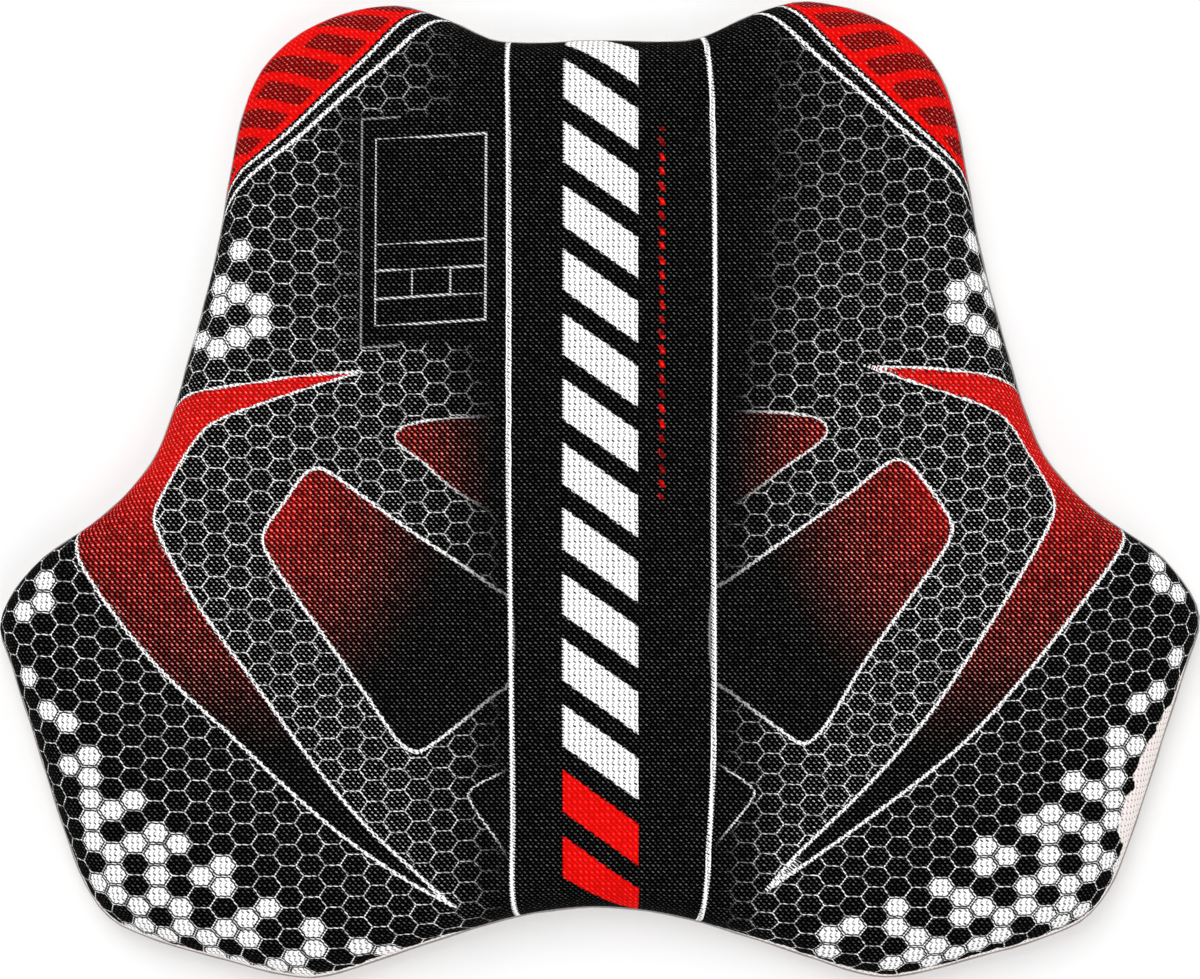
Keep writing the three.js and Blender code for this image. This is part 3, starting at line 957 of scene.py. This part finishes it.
# The back of the sleeve: plain pale bird's-eye knit, 1.3 mm thick, flat where the pad lies on it
# and turned up round the lower edge to the seam.
BACK_AROUND = 320
BACK_EDGE_RINGS = 8
BACK_FLAT_RINGS = 10
BACK_LINING_RINGS = 3
BACK_KNIT = 1.3
BACK_ROUND = 4.5
back_edge = edge[::2]
back_step = step[::2]
top_level = SEAM_LEVEL - SEAM_TALL / 2 - CLEARANCE
flat_edge = back_edge + back_step * BACK_ROUND
back_ways = back_edge - flat_edge
back_ways /= np.linalg.norm(back_ways, axis=1)[:, None]
back_rows = []
back_cloth = []
for i in range(BACK_FLAT_RINGS + 1):
    spread = HUB + (flat_edge - HUB) * i / BACK_FLAT_RINGS
    back_rows.append(np.c_[spread, np.full(BACK_AROUND, BACK_KNIT)])
    back_cloth.append(spread)
inner_low = SEAM_LEVEL - BACK_KNIT
for i in range(1, BACK_LINING_RINGS + 1):
    lean = math.asin((SEAM_LEVEL - top_level) / inner_low)
    lean = np.pi / 2 + (lean - np.pi / 2) * i / BACK_LINING_RINGS
    spread = back_edge + back_step * (BACK_KNIT + (BACK_ROUND - BACK_KNIT) * (1 - math.cos(lean)))
    back_rows.append(np.c_[spread, np.full(BACK_AROUND, SEAM_LEVEL - inner_low * math.sin(lean))])
    back_cloth.append(back_cloth[-1])
turned_up = math.asin((SEAM_LEVEL - top_level) / SEAM_LEVEL)
outer_rows = []
for i in range(BACK_EDGE_RINGS + 1):
    lean = turned_up + (np.pi / 2 - turned_up) * i / BACK_EDGE_RINGS
    spread = back_edge + back_step * BACK_ROUND * (1 - math.cos(lean))
    outer_rows.append(np.c_[spread, np.full(BACK_AROUND, SEAM_LEVEL * (1 - math.sin(lean)))])
arc = np.zeros(BACK_AROUND)
outer_cloth = [flat_edge]
for low_row, high_row in zip(outer_rows[::-1], outer_rows[-2::-1]):
    arc = arc + np.linalg.norm(high_row - low_row, axis=1)
    outer_cloth.append(flat_edge + back_ways * arc[:, None])
back_rows += outer_rows
back_cloth += outer_cloth[::-1]
for i in range(BACK_FLAT_RINGS - 1, -1, -1):
    spread = HUB + (flat_edge - HUB) * i / BACK_FLAT_RINGS
    back_rows.append(np.c_[spread, np.zeros(BACK_AROUND)])
    back_cloth.append(spread)
back_rows = np.array(back_rows)
back_cloth = np.array(back_cloth)
back_rings = len(back_rows) - 1
bpy.ops.mesh.primitive_uv_sphere_add(segments=BACK_AROUND, ring_count=back_rings, radius=0.1)
back = bpy.context.object
back.name = "back_sleeve"
ring, column = ball_grid(back, BACK_AROUND, back_rings)
back.data.vertices.foreach_set("co", (back_rows[ring, column] / 1000).ravel())
back.data.update()
give_cloth_map(back, back_cloth[ring, column])
bpy.ops.object.shade_smooth_by_angle(angle=SHARP)

# Polyester bird's-eye knit: matt pale yarn, with small grey flecks staggered from row to row.
birdseye, tree = new_material("Polyester bird's-eye knit, pale")
flat = add("UVMap", uv_map="Cloth")
place = add("VectorMath", flat, STITCHES, operation="MULTIPLY")
stitch_number = add("VectorMath", place, operation="FLOOR")
own = add("TexWhiteNoise", stitch_number, noise_dimensions="2D").outputs["Value"]
eyes = [
    add("Group", place, middle, (0.24, 0.18, 1), math.radians(20), node_tree=mark)
    for middle in ((0.25, 0.25, 0), (0.75, 0.75, 0))
]
eye = add("Math", *eyes, operation="MAXIMUM")
eye_own = add("Math", own, 0.3, 0.4, operation="MULTIPLY_ADD")
eye_amount = add("Math", eye, eye_own, operation="MULTIPLY")
cloudy = add("TexNoise", place, named={"Scale": 0.05, "Detail": 2.0}).outputs["Fac"]
ground = add("Mix", cloudy, linear("#ebe2df"), linear("#f1eae7"), data_type="RGBA")
colour = add("Mix", eye_amount, ground, linear("#a39493"), data_type="RGBA")
height = add("Math", 1.0, eye, operation="SUBTRACT")
bump = add("Bump", named={"Strength": 0.6, "Distance": 0.0003, "Height": height})
finish = {"Roughness": 0.9, "Specular IOR Level": 0.15, "Sheen Weight": 0.05}
yarn = add("BsdfPrincipled", named={"Base Color": colour, "Normal": bump, **finish})
add("OutputMaterial", yarn)
back.data.materials.clear()
back.data.materials.append(birdseye)
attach(back, "root")
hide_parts("back_cover")

# The side seam: grey overlock thread wrapped round the joined edges of the two knits, one wrap
# every 2.2 mm, all the way round the pad.
WRAPS = 450
PER_WRAP = 5
SEAM_SIDES = 10
SEAM_PROUD = 0.5  # how far the thread stands out of the pad's side
SEAM_SLACK = 0.05  # how much thinner it is than the CAD seam on each side
WRAP_DEPTH = 0.14  # how deep the grooves between the wraps are, as a share of the seam
seam_around = WRAPS * PER_WRAP
bpy.ops.mesh.primitive_torus_add(
    major_segments=seam_around, minor_segments=SEAM_SIDES, major_radius=0.1, minor_radius=0.01
)
seam = bpy.context.object
seam.name = "edge_seam_thread"
co = np.zeros(len(seam.data.vertices) * 3)
seam.data.vertices.foreach_get("co", co)
co = co.reshape(-1, 3)
turns = np.arctan2(co[:, 1], co[:, 0]) / (2 * np.pi)
column = np.rint(turns * seam_around).astype(int) % seam_around
across = np.hypot(co[:, 0], co[:, 1]) - 0.1
side = np.arctan2(co[:, 2], across)
closed = np.vstack([edge, edge[:1]])
closed_step = np.vstack([step, step[:1]])
share = np.arange(seam_around) / seam_around * AROUND
corners = np.arange(AROUND + 1)
seam_edge = np.array([np.interp(share, corners, closed[:, i]) for i in (0, 1)]).T
seam_step = np.array([np.interp(share, corners, closed_step[:, i]) for i in (0, 1)]).T
half_wide = (FRONT_KNIT + SEAM_PROUD) / 2 - SEAM_SLACK
wrap_turn = 2 * np.pi * (column % PER_WRAP) / PER_WRAP
ridge = 1 - WRAP_DEPTH * (1 + np.cos(wrap_turn + side)) / 2
out_by = half_wide * ridge * np.cos(side)
inset = FRONT_KNIT - half_wide - SEAM_SLACK - out_by
flat_xy = seam_edge[column] + seam_step[column] * inset[:, None]
co = np.c_[flat_xy, SEAM_LEVEL + SEAM_TALL / 2 * ridge * np.sin(side)]
seam.data.vertices.foreach_set("co", (co / 1000).ravel())
seam.data.update()
bpy.ops.object.shade_smooth()

# Spun polyester sewing thread: a slight sheen and a fine mottle of plies.
thread, tree = new_material("Spun polyester overlock thread")
place = add("TexCoord")
plies = add("TexNoise", place.outputs["Object"], named={"Scale": 1400.0, "Detail": 3.0})
fuzz = plies.outputs["Fac"]
colour = add("Mix", fuzz, linear("#74706e"), linear("#b4b0ad"), data_type="RGBA")
bump = add("Bump", named={"Strength": 0.5, "Distance": 0.0001, "Height": fuzz})
finish = {"Roughness": 0.7, "Specular IOR Level": 0.3, "Sheen Weight": 0.1}
yarn = add("BsdfPrincipled", named={"Base Color": colour, "Normal": bump, **finish})
add("OutputMaterial", yarn)
seam.data.materials.clear()
seam.data.materials.append(thread)
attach(seam, "root")
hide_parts("edge_seam")

# The foam core: one plate of soft open-cell foam, moulded to the pad's crown, with fine pores.
# It lies loose in the sleeve, closed in by the side seam, and isn't seen from outside.
foam, tree = new_material("Moulded open-cell foam")
place = add("TexCoord")
pores = add("TexVoronoi", place.outputs["Object"], named={"Scale": 900.0}).outputs["Distance"]
# The pores are painted darker in their middles: painted shade in the hollows that the bump sinks.
colour = add("Mix", pores, linear("#b3ab98"), linear("#dcd6c6"), data_type="RGBA")
bump = add("Bump", named={"Strength": 0.5, "Distance": 0.0003, "Height": pores})
finish = {"Roughness": 1.0, "Specular IOR Level": 0.2}
skin = add("BsdfPrincipled", named={"Base Color": colour, "Normal": bump, **finish})
add("OutputMaterial", skin)
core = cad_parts["foam_core"].data
core.materials.clear()
core.materials.append(foam)
